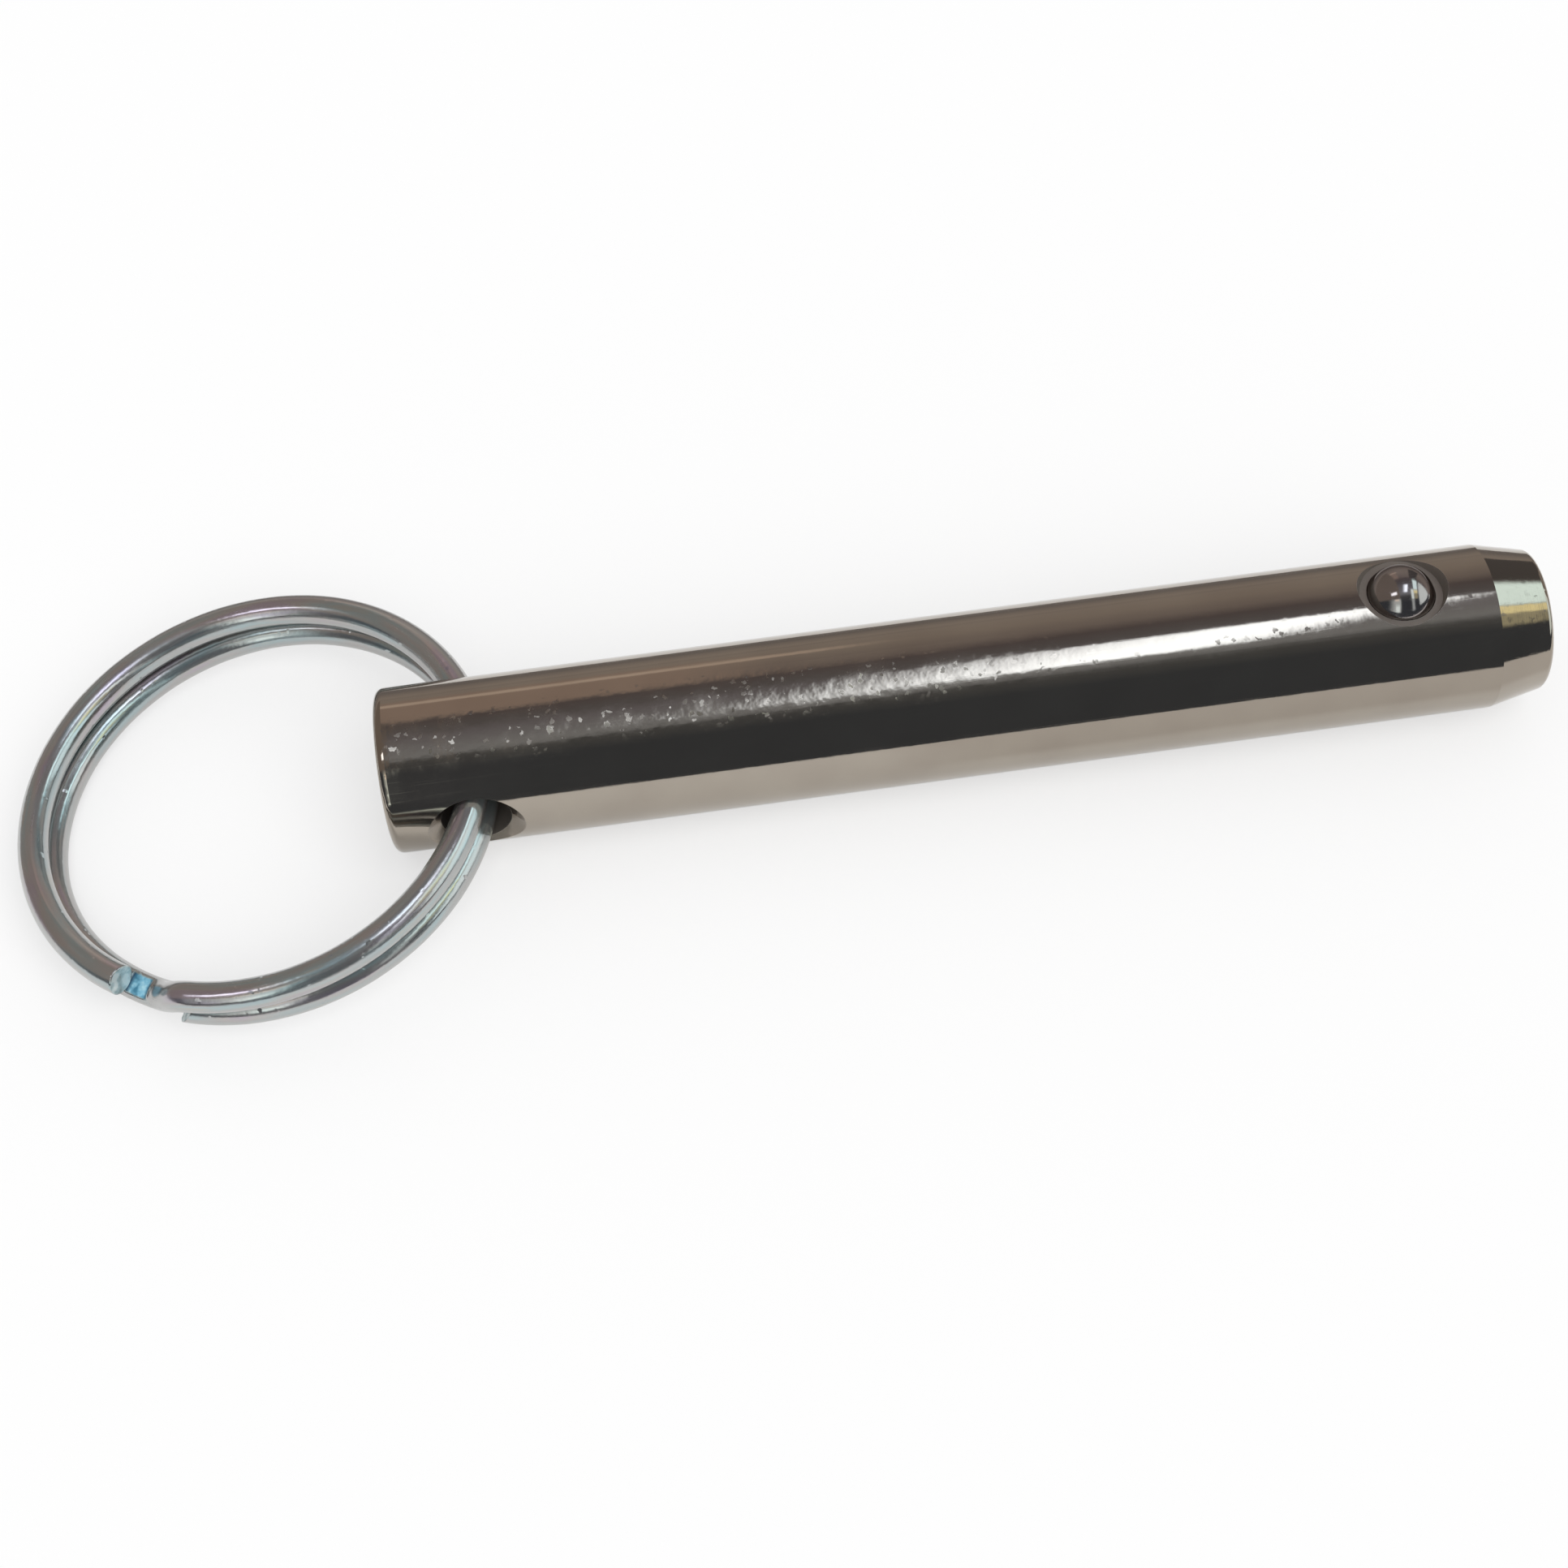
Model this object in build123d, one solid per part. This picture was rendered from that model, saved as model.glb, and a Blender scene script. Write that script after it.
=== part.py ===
from build123d import *

import os
from math import asin, atan2, cos, degrees, hypot, pi, radians, sin, sqrt, tan

# A ring-handled detent pin: a turned shank with a spring-loaded ball near its nose.
#
# Units are millimetres. +X runs along the pin from its head end to its nose, +Z points up
# through the ball, and the origin is the centre of the flat head end. The pin lies on its
# side, and the far edge of its ring rests on the same level surface as the shank.

# ---- shank ----
shank_diameter = 9.525
overall_length = 66.8
head_corner_radius = 0.5
taper_length = 3.2
taper_drop = 0.72
nose_corner_radius = 0.4

# ---- cross hole that carries the ring ----
ring_hole_diameter = 4.0
ring_hole_from_head = 4.95
hole_deburr = 0.75

# ---- detent ball in its blind bore, held in by a staked lip ----
ball_diameter = 3.969
ball_from_nose = 8.3
ball_proud = 0.85
ball_clearance = 0.02
lip_rise = 0.5
seat_floor_width = 0.4
seat_wall_angle = 20.0
bore_end_wall = 1.3
drill_point_angle = 118.0

# ---- spring behind the ball ----
spring_wire = 0.4
spring_outer_diameter = 3.4
spring_coils = 5.0
spring_end_gap = 0.02

# ---- split ring: two turns of round wire joined by one crossover ----
ring_wire = 1.75
ring_outer_diameter = 28.0
turn_step = 0.2
turn_gap = 0.13
crossover_angle = -114.3
crossover_length = 3.45
cut_end_lag = 0.97
tail_reach = 1.0
tail_slant = 40.0
lead_in_inset = 0.35
lead_in_angle = 55.0

# ---- worked out from the sizes above ----
shank_radius = shank_diameter / 2
ring_hole_radius = ring_hole_diameter / 2
ball_radius = ball_diameter / 2
ball_x = overall_length - ball_from_nose
ball_z = shank_radius + ball_proud - ball_radius
bore_radius = ball_radius + ball_clearance
lip_z = ball_z + lip_rise
lip_radius = sqrt(bore_radius**2 - lip_rise**2)
drill_point_slope = 1 / tan(radians(drill_point_angle / 2))
bore_tip_z = bore_end_wall - shank_radius
spring_radius = spring_outer_diameter / 2
wire_radius = ring_wire / 2
turn_height = (ring_wire + turn_gap) / 2
upper_radius = ring_outer_diameter / 2 - wire_radius
lower_radius = upper_radius - turn_step


def turned_shank():
    """The outside of the pin: one turned profile, rounded at the head and tapered at the nose."""
    head_corner = (0, shank_radius)
    nose_corner = (overall_length, shank_radius - taper_drop)
    outline = Polyline(
        (0, 0),
        head_corner,
        (overall_length - taper_length, shank_radius),
        nose_corner,
        (overall_length, 0),
        close=True,
    )
    profile = make_face(outline)
    profile = fillet(profile.vertices().sort_by_distance(head_corner)[0], head_corner_radius)
    profile = fillet(profile.vertices().sort_by_distance(nose_corner)[0], nose_corner_radius)
    return revolve(profile, Axis.X)


def ring_hole():
    """The cross hole along Y, with a 90 degree countersink where it breaks out on each side."""
    hole = Rot(X=90) * Cylinder(ring_hole_radius, 2 * shank_diameter)
    countersink = Cone(ring_hole_radius, ring_hole_radius + 2 * hole_deburr, 2 * hole_deburr)
    mouth = Pos(Z=shank_radius) * countersink
    both = hole + Rot(X=90) * mouth + Rot(X=-90) * mouth
    return Pos(X=ring_hole_from_head) * both


def ball_bore():
    """The blind bore, turned about the ball's axis.

    From the bottom up it is a drill point, a straight wall, a lip that closes in over the
    ball, a narrow seat floor, and a steep wall that opens out through the shank's surface.
    """
    seat_radius = lip_radius + seat_floor_width
    rim_z = shank_radius + ball_proud
    rim_radius = seat_radius + (rim_z - lip_z) * tan(radians(seat_wall_angle))
    lip_angle = degrees(asin(lip_rise / bore_radius))
    with BuildPart() as bore:
        with BuildSketch(Plane.XZ):
            with BuildLine():
                Polyline(
                    (0, rim_z),
                    (0, bore_tip_z),
                    (bore_radius, bore_tip_z + bore_radius * drill_point_slope),
                    (bore_radius, ball_z),
                )
                CenterArc((0, ball_z), bore_radius, 0, lip_angle)
                Polyline(
                    (lip_radius, lip_z),
                    (seat_radius, lip_z),
                    (rim_radius, rim_z),
                    (0, rim_z),
                )
            make_face()
        revolve(axis=Axis.Z)
    return Pos(X=ball_x) * bore.part


def pin_body():
    """The shank with its ring hole and its ball bore, one piece."""
    return turned_shank() - ring_hole() - ball_bore()


def detent_ball():
    """The ball, standing proud of the shank and held by the lip."""
    return Pos(ball_x, 0, ball_z) * Sphere(ball_radius)


def detent_spring():
    """The spring: an even helix ground flat at both ends, from the drill point to the ball."""
    inner_radius = spring_radius - spring_wire
    bottom = bore_tip_z + spring_radius * drill_point_slope + spring_end_gap
    top = ball_z - sqrt(ball_radius**2 - inner_radius**2) - spring_end_gap
    length = top - bottom
    coil = Helix(length / spring_coils, length, spring_radius - spring_wire / 2)
    wire = sweep(Plane(coil @ 0, z_dir=coil % 0) * Circle(spring_wire / 2), coil, is_frenet=True)
    between_ends = Cylinder(
        spring_outer_diameter, length, align=(Align.CENTER, Align.CENTER, Align.MIN)
    )
    return Pos(ball_x, 0, bottom) * (wire & between_ends)


def turn_centre_x(radius):
    """Where a turn's centre lies, so that its wire bows equally to both sides of the hole's axis."""
    bow = radius - sqrt(radius**2 - shank_radius**2)
    return bow / 2 - radius


def on_turn(radius, height, angle):
    """The point at an angle round one turn, and the way the wire runs there."""
    across, along = radians(angle), radians(angle + 90)
    point = Vector(turn_centre_x(radius) + radius * cos(across), radius * sin(across), height)
    return point, Vector(cos(along), sin(along), 0)


def turn(radius, height, start, end):
    """One turn of round wire from one angle to another: a circle carried round the turn's axis."""
    point, along = on_turn(radius, height, start)
    axis = Axis((turn_centre_x(radius), 0, height), (0, 0, 1))
    return revolve(Plane(point, z_dir=along) * Circle(wire_radius), axis, end - start)


def wire_angle(length):
    """The angle that a length of wire takes up round the upper turn."""
    return degrees(length / upper_radius)


def tail(angle):
    """The first length of the lower turn, sheared at a slant that faces up."""
    point, along = on_turn(lower_radius, -turn_height, angle)
    slant = radians(tail_slant)
    facing = Vector(0, 0, 1) * sin(slant) - along * cos(slant)
    side = 4 * ring_wire
    beyond = Plane(point, z_dir=facing) * Box(
        side, side, side, align=(Align.CENTER, Align.CENTER, Align.MIN)
    )
    reach = wire_angle(ring_wire)
    return turn(lower_radius, -turn_height, angle - reach, angle + reach) - beyond


def pressed_in(angle, share):
    """A point of the lower turn pressed in by a share of the inset, and the way the wire runs."""
    point, along = on_turn(lower_radius, -turn_height, angle)
    return point - along.cross(Vector(0, 0, 1)) * (lead_in_inset * share), along


def wire_through(stations):
    """Round wire on a smooth line through points, with the way it runs at the first and last."""
    points = [point for point, along in stations]
    start_along, end_along = stations[0][1], stations[-1][1]
    path = Spline(*points, tangents=(start_along, end_along))
    return sweep(Plane(points[0], z_dir=start_along) * Circle(wire_radius), path)


def split_ring():
    """The ring: an upper turn, a crossover that drops by one wire, and a lower turn beneath.

    The upper turn ends in a square cut just past the crossover's foot. There the lower turn
    is pressed in, and it eases out by half a cosine wave. Its tail tucks in under the
    crossover. The ring is wound flat about the hole's axis, then swung down until its far
    edge is level with the shank's lowest line.
    """
    half_crossover = wire_angle(crossover_length) / 2
    upper_start = crossover_angle + half_crossover
    lower_end = crossover_angle - half_crossover + 360
    upper_cut = lower_end - wire_angle(cut_end_lag)
    lower_cut = upper_start - wire_angle(tail_reach)
    upper = turn(upper_radius, turn_height, upper_start, upper_cut)
    lead_start = lower_end - lead_in_angle
    lower = turn(lower_radius, -turn_height, lower_cut + wire_angle(ring_wire), lead_start)
    lower += tail(lower_cut)
    steps = [step / 6 for step in range(7)]
    eased = [pressed_in(lead_start + lead_in_angle * s, (1 - cos(pi * s)) / 2) for s in steps]
    lead_in = wire_through(eased)
    crossover = wire_through([eased[-1], on_turn(upper_radius, turn_height, upper_start)])
    ring = upper + crossover + lead_in + lower
    far_edge = lower_radius - turn_centre_x(lower_radius)
    droop = asin((shank_radius - wire_radius) / hypot(far_edge, turn_height)) - atan2(
        turn_height, far_edge
    )
    return Pos(X=ring_hole_from_head) * Rot(Y=-degrees(droop)) * ring


pieces = {
    "pin_body": pin_body(),
    "detent_ball": detent_ball(),
    "detent_spring": detent_spring(),
    "split_ring": split_ring(),
}

os.makedirs("parts", exist_ok=True)
for name, shape in pieces.items():
    export_step(shape, f"parts/{name}.step")
    print(name, round(shape.volume, 2), "mm3")
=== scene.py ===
# %% [markdown]
# # A detent pin on its split ring
#
# A detent pin is a quick fastener: a plain plated shank that is pushed through a hole, and
# a spring-loaded ball near its nose that keeps it there until it is pulled.  A split ring
# through a cross hole in the head end gives a finger something to pull on.
#
# This lesson dresses the finished solids of that pin.  They already have the right sizes, so
# most of the work is in the metals: bright nickel on the shank, a polished ball, and
# blue-passivated zinc on the ring.  Two pieces are drawn again as swept surfaces: the ring,
# so that its wire can carry fine marks, and the spring.

# %% Load the solid model
import math

import bpy
import numpy as np
from mathutils import Matrix, Vector


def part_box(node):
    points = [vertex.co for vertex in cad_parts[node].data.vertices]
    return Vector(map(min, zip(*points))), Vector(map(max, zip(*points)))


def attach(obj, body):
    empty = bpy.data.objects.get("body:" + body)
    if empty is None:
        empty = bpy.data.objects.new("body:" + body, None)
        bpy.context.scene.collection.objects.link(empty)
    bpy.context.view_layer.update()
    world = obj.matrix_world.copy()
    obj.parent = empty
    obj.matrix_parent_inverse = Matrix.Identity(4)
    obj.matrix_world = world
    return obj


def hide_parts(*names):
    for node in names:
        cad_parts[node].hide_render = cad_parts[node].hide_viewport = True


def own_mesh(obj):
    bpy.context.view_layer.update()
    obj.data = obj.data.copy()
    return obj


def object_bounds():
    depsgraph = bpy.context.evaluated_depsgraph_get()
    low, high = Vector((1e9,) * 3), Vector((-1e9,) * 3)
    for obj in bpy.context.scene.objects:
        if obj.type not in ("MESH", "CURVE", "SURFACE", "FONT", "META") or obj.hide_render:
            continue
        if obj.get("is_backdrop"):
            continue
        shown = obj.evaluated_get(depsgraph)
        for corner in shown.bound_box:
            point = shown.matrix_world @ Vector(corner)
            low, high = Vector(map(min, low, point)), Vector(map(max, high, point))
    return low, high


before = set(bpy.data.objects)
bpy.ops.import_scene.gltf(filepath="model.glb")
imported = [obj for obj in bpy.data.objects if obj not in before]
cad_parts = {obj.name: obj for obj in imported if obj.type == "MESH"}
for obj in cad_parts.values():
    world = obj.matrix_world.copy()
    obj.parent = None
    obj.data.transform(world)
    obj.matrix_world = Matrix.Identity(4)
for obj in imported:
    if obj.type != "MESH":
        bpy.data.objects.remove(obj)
cad_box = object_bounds()
scene = bpy.context.scene
for name in sorted(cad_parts):
    low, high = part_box(name)
    print(f"{name}: {[round(1000 * v, 2) for v in high - low]} mm")

# %% [markdown]
# ## The sizes that the dressing needs
#
# Everything below is written in millimetres, because that is how such a pin is drawn, and
# turned into metres where it goes into Blender.  The ring's sizes are those of its wire:
# two turns, one above the other, and one short crossover that steps down between them.
# Its angles are degrees about the ring's own axis.  They fall as the wire is followed from
# the cut end of the upper turn to the tail of the lower one.

# %% Sizes in millimetres
MM = 0.001
SHANK_RADIUS, PIN_LENGTH, TAPER_START = 4.7625, 66.8, 63.6
RING_HOLE_X, RING_HOLE_RADIUS, MOUTH_RADIUS = 4.95, 2.0, 2.75
BALL_X = 58.5
WIRE_RADIUS = 0.875
UPPER_RADIUS, LOWER_RADIUS = 13.125, 12.925
TURN_HEIGHT = 0.94
CUT_ANGLE, STEP_TOP, STEP_FOOT, TAIL_ANGLE = 233.94, -106.77, -121.83, -471.14
LEAD_INSET, LEAD_ANGLE = 0.35, 55.0
TAIL_SLANT = 40.0
print("the wire is", 2 * WIRE_RADIUS, "mm thick")


# %% Where each turn sits about the hole's axis
def turn_centre(radius):
    """Across the shank the wire bows by radius - sqrt(radius^2 - shank^2); half goes each way."""
    bow = radius - math.sqrt(radius**2 - SHANK_RADIUS**2)
    return bow / 2 - radius


far_edge = LOWER_RADIUS - turn_centre(LOWER_RADIUS)
droop = math.asin((SHANK_RADIUS - WIRE_RADIUS) / math.hypot(far_edge, TURN_HEIGHT))
droop -= math.atan2(TURN_HEIGHT, far_edge)
print("the ring hangs down by", round(math.degrees(droop), 2), "degrees")

# %% [markdown]
# ## The ring's centre line
#
# The wire is followed from the cut end of the upper turn, once round, down the crossover
# and once more round underneath.  Each turn is a plain circle.  The crossover is a Hermite
# curve: it leaves one circle and joins the other along their own directions, so the wire
# has no corner in it.  At its foot the lower turn is pressed in a little, and eases out to
# its circle by half a cosine wave.  A Blender curve could be bent by hand to look like this,
# but circles and one cubic keep every size exact.


# %% The circle, and the cubic between two circles
def on_turn(radius, height, angle):
    """A circle: centre + radius (cos a, sin a), at one height, with the way it runs as a falls."""
    a = np.radians(angle)
    point = np.stack([turn_centre(radius) + radius * np.cos(a), radius * np.sin(a),
                      np.full_like(a, height)], -1)
    along = np.stack([np.sin(a), -np.cos(a), np.zeros_like(a)], -1)
    return point, along


def hermite(p, q, u, v, t):
    """The cubic from p to q that leaves along u and arrives along v."""
    t = t[:, None]
    point = ((1 + 2 * t) * (1 - t) ** 2 * p + t * (1 - t) ** 2 * u
             + t**2 * (3 - 2 * t) * q + t**2 * (t - 1) * v)
    along = 6 * t * (t - 1) * (p - q) + (1 - t) * (1 - 3 * t) * u + t * (3 * t - 2) * v
    return point, along / np.linalg.norm(along, axis=1, keepdims=True)


print("a circle and a cubic are ready")


# %% The whole centre line
def ring_line(spacing):
    """Upper circle, crossover and lower circle, joined end to end, and the way the wire runs."""
    count = int(math.radians(CUT_ANGLE - STEP_TOP) * UPPER_RADIUS / spacing)
    upper = on_turn(UPPER_RADIUS, TURN_HEIGHT, np.linspace(CUT_ANGLE, STEP_TOP, count))
    count = int(math.radians(STEP_FOOT - TAIL_ANGLE) * LOWER_RADIUS / spacing)
    angle = np.linspace(STEP_FOOT, TAIL_ANGLE, count)
    lower = on_turn(LOWER_RADIUS, -TURN_HEIGHT, angle)
    share = np.clip(1 - (STEP_FOOT - angle) / LEAD_ANGLE, 0, 1)
    inset = LEAD_INSET * (1 - np.cos(np.pi * share)) / 2
    outward = np.stack([-lower[1][:, 1], lower[1][:, 0], np.zeros_like(angle)], -1)
    lower = lower[0] - outward * inset[:, None], lower[1]
    p, q = upper[0][-1], lower[0][0]
    reach = np.linalg.norm(q - p)
    t = np.linspace(0, 1, int(reach / spacing) + 2)[1:-1]
    step = hermite(p, q, upper[1][-1] * reach, lower[1][0] * reach, t)
    line = np.concatenate([upper[0], step[0], lower[0]])
    along = np.concatenate([upper[1], step[1], lower[1]])
    return line, along


line, along = ring_line(spacing=0.16)
run = np.concatenate([[0], np.cumsum(np.linalg.norm(np.diff(line, axis=0), axis=1))])
print("the ring takes", round(run[-1], 1), "mm of wire")

# %% [markdown]
# ## The wire round that line
#
# A circle of points is carried along the line.  Its two directions are "out", away from the
# ring's middle, and "up", square to both.  A bevelled curve would turn its section as it
# likes; here each point keeps its side of the wire, and the finish needs that.

# %% Carry the wire's section along the line
AROUND = 56
theta = np.linspace(0, 2 * np.pi, AROUND, endpoint=False)
middle = np.array([turn_centre(UPPER_RADIUS), 0.0, 0.0])
out = line - middle
out[:, 2] = 0
out -= along * np.sum(out * along, axis=1, keepdims=True)
out /= np.linalg.norm(out, axis=1, keepdims=True)
up = np.cross(out, along)
up *= np.sign(up[:, 2:3])
across = np.cos(theta)[None, :, None] * out[:, None] + np.sin(theta)[None, :, None] * up[:, None]
section = np.full((len(line), AROUND), WIRE_RADIUS)
print("section directions for", len(line), "places along the wire")

# %% [markdown]
# ## Draw marks and a nick
#
# A die leaves its wire faintly uneven, so the radius wanders by less than a hundredth of a
# millimetre, as a sum of slow waves.  The tool that bent the crossover also left a nick at
# its foot.  A flat cut across round wire is r = distance / cos(angle from the way the cut
# faces), so taking the smaller of the two radii at each point cuts it, with no boolean.


# %% Draw marks
def soft_noise(x, waves, seed):
    """A sum of sines with random phases: smooth, repeatable and cheap."""
    r = np.random.default_rng(seed)
    phase, rate = r.uniform(0, 2 * np.pi, len(waves)), np.array(waves)
    return np.sin(x[..., None] * rate + phase).mean(-1)


section += 0.006 * soft_noise(run, [0.31, 0.83, 1.9], 3)[:, None]
section += 0.004 * np.sin(2 * theta + 0.6)[None, :] * soft_noise(run, [0.07, 0.21], 5)[:, None]
wire_round = section.copy()
print("the wire's radius wanders from", section.min().round(4), "to", section.max().round(4), "mm")

# %% The nick at the foot of the crossover
NICK_LENGTH, NICK_DEPTH, NICK_TILT = 1.5, 0.28, 74.0
NICK_EDGE, NICK_TORN, NICK_FADE = 0.12, 0.025, 0.02
EDGE_ON, OUT_OF_REACH = 0.2, 9.0
foot = on_turn(LOWER_RADIUS, -TURN_HEIGHT, np.array([STEP_FOOT]))[0]
NICK_FROM = run[np.argmin(np.linalg.norm(line - foot, axis=1))]
NICK_TO = NICK_FROM + NICK_LENGTH
inside = np.clip(np.minimum(run - NICK_FROM, NICK_TO - run) / NICK_EDGE, 0, 1)
facing = np.cos(theta - math.radians(NICK_TILT))
torn = NICK_TORN * soft_noise(run[:, None] * 9 + theta[None, :] * 5, [1.0, 2.3, 4.1], 11)
flat = (WIRE_RADIUS - NICK_DEPTH + torn) / np.maximum(facing, EDGE_ON)[None, :]
flat = np.where(facing[None, :] > EDGE_ON, flat, OUT_OF_REACH)
section = section + inside[:, None] * (np.minimum(section, flat) - section)
nicked = np.clip((wire_round - section) / NICK_FADE, 0, 1)
print("the nick goes in by up to", (wire_round - section).max().round(3), "mm")

# %% [markdown]
# ## The slanting tail
#
# The tail of the lower turn was snipped off at a slant.  Near it each circle of points leans
# over, a little more than the one before, until the last lies in the cut.  The finished wire
# is then swung down about the hole's axis, until its far edge is level with the shank.

# %% The points of the wire, with the slanting cut
LEAN_LENGTH, LEAN_CURVE = 2.2, 1.4
lean = -np.clip(1 - (run[-1] - run) / LEAN_LENGTH, 0, 1) ** LEAN_CURVE
slant = math.tan(math.radians(TAIL_SLANT))
points = line[:, None] + section[..., None] * across
height = section * np.sin(theta)[None, :]
points += along[:, None] * (lean[:, None] * slant * height)[..., None]


def swing_into_place(p):
    """Turn about Y by the droop, then move the hole's axis to its place on the shank."""
    c, s = math.cos(droop), math.sin(droop)
    x, z = p[..., 0] * c - p[..., 2] * s, p[..., 0] * s + p[..., 2] * c
    return np.stack([x + RING_HOLE_X, p[..., 1], z], -1)


placed = swing_into_place(points)
print("lowest point of the wire:", placed[..., 2].min().round(3), "mm")

# %% [markdown]
# ## The ends and the mesh
#
# Both ends of the wire are sheared, and a sheared face is a little torn.  Rings of points
# shrink from the rim to the centre, pushed in and out along the wire, and a fan closes the
# last one.  So the tube has no hole, and its faces all point outwards.

# %% The torn ends
TORN_END = 0.045


def end_rings(rim, centre, way):
    """Rings at rim + t (centre - rim), each pushed along the wire by a soft noise."""
    t = np.array([0.05, 0.16, 0.3, 0.44, 0.58, 0.72, 0.86])[:, None, None]
    flat = rim + (centre - rim) * t
    torn = soft_noise(flat @ [2.2, 1.4, 1.8], [1.0, 2.1], 21)
    torn = torn + soft_noise(flat @ [-1.8, 2.6, 1.4], [1.0, 1.7], 22)
    return flat + way * (TORN_END * torn * np.minimum(4 * (1 - t[..., 0]), 1))[..., None]


first_centre, last_centre = placed[0].mean(0), placed[-1].mean(0)
push = swing_into_place(line[:1] - along[:1])[0] - swing_into_place(line[:1])[0]
pull = swing_into_place(line[-1:] + along[-1:])[0] - swing_into_place(line[-1:])[0]
ends_first = end_rings(placed[0], first_centre, push)[::-1]
ends_last = end_rings(placed[-1], last_centre, pull)
print("each end is closed by", len(ends_first), "rings of points")


# %% The mesh of the ring
def tube_faces(rows, around):
    """Quads between neighbouring rings, and a fan to a pole at each end.

    The points are the rings one after the other, then the first pole and the last one.
    """
    i, j = np.meshgrid(np.arange(rows - 1), np.arange(around), indexing="ij")
    k = (j + 1) % around
    quads = [i * around + j, (i + 1) * around + j, (i + 1) * around + k, i * around + k]
    j = np.arange(around)
    k = (j + 1) % around
    first_pole, last = rows * around, (rows - 1) * around
    head = np.stack([np.full(around, first_pole), j, k], -1)
    foot = np.stack([np.full(around, first_pole + 1), last + k, last + j], -1)
    return np.stack(quads, -1).reshape(-1, 4).tolist() + head.tolist() + foot.tolist()


def make_piece(name, vertices, faces):
    """Points in millimetres and their faces become one smooth-shaded object."""
    mesh = bpy.data.meshes.new(name)
    mesh.from_pydata((vertices * MM).tolist(), [], faces)
    mesh.shade_smooth()
    mesh.update()
    piece = bpy.data.objects.new(name, mesh)
    scene.collection.objects.link(piece)
    return piece


rows = np.concatenate([ends_first, placed, ends_last])
poles = np.stack([first_centre, last_centre])
faces = tube_faces(len(rows), AROUND)
ring_wire = make_piece("ring_wire", np.concatenate([rows.reshape(-1, 3), poles]), faces)
print("ring_wire has", len(faces), "faces")

# %% [markdown]
# ## What the ring's finish needs to know
#
# Streaks on drawn wire run along it, so a pattern in space won't do.  Each point stores how
# far along the wire it is, in millimetres, and how far out and up it faces.  A second number
# says where the wire was sheared: 1 in the nick and 0.5 on the cut ends.  A material reads
# both as attributes.

# %% Store the wire's own coordinate, and where it was sheared
runs = np.concatenate([np.full(len(ends_first), run[0]), run, np.full(len(ends_last), run[-1])])
wire_place = np.stack([np.repeat(runs, AROUND), np.tile(np.cos(theta), len(rows)),
                       np.tile(np.sin(theta), len(rows))], -1)
wire_place = np.concatenate([wire_place, [[run[0], 0, 0], [run[-1], 0, 0]]])
attribute = ring_wire.data.attributes.new("wire_place", "FLOAT_VECTOR", "POINT")
attribute.data.foreach_set("vector", wire_place.astype(np.float32).ravel())
cap = np.full(len(ends_first) * AROUND, 0.5)
sheared = np.concatenate([cap, nicked.ravel(), cap, [0.5, 0.5]])
attribute = ring_wire.data.attributes.new("sheared", "FLOAT", "POINT")
attribute.data.foreach_set("value", sheared.astype(np.float32))
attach(ring_wire, "ring")
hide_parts("split_ring")
print("the ring now rides on its joint")

# %% [markdown]
# ## The spring, drawn again as a tube
#
# A spring doesn't move as one stiff piece: its foot stays in the bore and its head follows
# the ball.  It is drawn again as a tube round an even helix, with both ends ground flat.
# Its heights are measured from the pin's axis.

# %% The helix of the spring, ground flat at both ends
COILS, COIL_RADIUS, SPRING_WIRE = 5, 1.5, 0.4
SPRING_FOOT, SPRING_HEAD, SPRING_SEAT, BALL_TRAVEL = -2.4210, 2.1086, -2.4410, 0.9
SPRING_STEPS, SPRING_AROUND = 361, 24


def spring_points(steps, around):
    """Round each point of a helix (r cos t, r sin t, foot + height t / last t) stands a circle.

    The circle is square to the helix.  What lies past the foot or the head is pressed level
    with it, which is the same as grinding it off.
    """
    t = np.linspace(0, 2 * np.pi * COILS, steps)[:, None]
    out = np.concatenate([np.cos(t), np.sin(t), 0 * t], 1)
    rise = (SPRING_HEAD - SPRING_FOOT) / (2 * np.pi * COILS)
    centre = COIL_RADIUS * out + np.concatenate([0 * t, 0 * t, SPRING_FOOT + rise * t], 1)
    way = np.concatenate([-COIL_RADIUS * np.sin(t), COIL_RADIUS * np.cos(t), rise + 0 * t], 1)
    way /= np.linalg.norm(way, axis=1, keepdims=True)
    side, s = np.cross(out, way), np.linspace(0, 2 * np.pi, around, endpoint=False)[:, None]
    circle = np.cos(s) * out[:, None] + np.sin(s) * side[:, None]
    grid = centre[:, None] + SPRING_WIRE / 2 * circle
    points = np.concatenate([grid.reshape(-1, 3), centre[:1], centre[-1:]]) + [BALL_X, 0, 0]
    points[:, 2] = np.clip(points[:, 2], SPRING_FOOT, SPRING_HEAD)
    return points


spring_coil = make_piece("spring_coil", spring_points(SPRING_STEPS, SPRING_AROUND),
                         tube_faces(SPRING_STEPS, SPRING_AROUND))
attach(spring_coil, "shank")
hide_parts("detent_spring")
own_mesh(spring_coil)

# %% [markdown]
# ## Shader helpers
#
# A material is a small graph.  These helpers add a node, set what is plain and link what
# varies, so that each finish below reads as a list of what it is made of.


# %% Helpers for single nodes
def add(tree, kind, operation=None, **inputs):
    """One node.  Each named input is linked if it is a socket, and set if it is a value.

    An underscore stands for a space, and i0, i1 and i2 name an input by its number.
    """
    node = tree.nodes.new(kind)
    if operation:
        node.operation = operation
    for key, value in inputs.items():
        numbered = key[0] == "i" and key[1:].isdigit()
        socket = node.inputs[int(key[1:]) if numbered else key.replace("_", " ")]
        if isinstance(value, bpy.types.NodeSocket):
            tree.links.new(value, socket)
        else:
            socket.default_value = value
    return node


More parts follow.
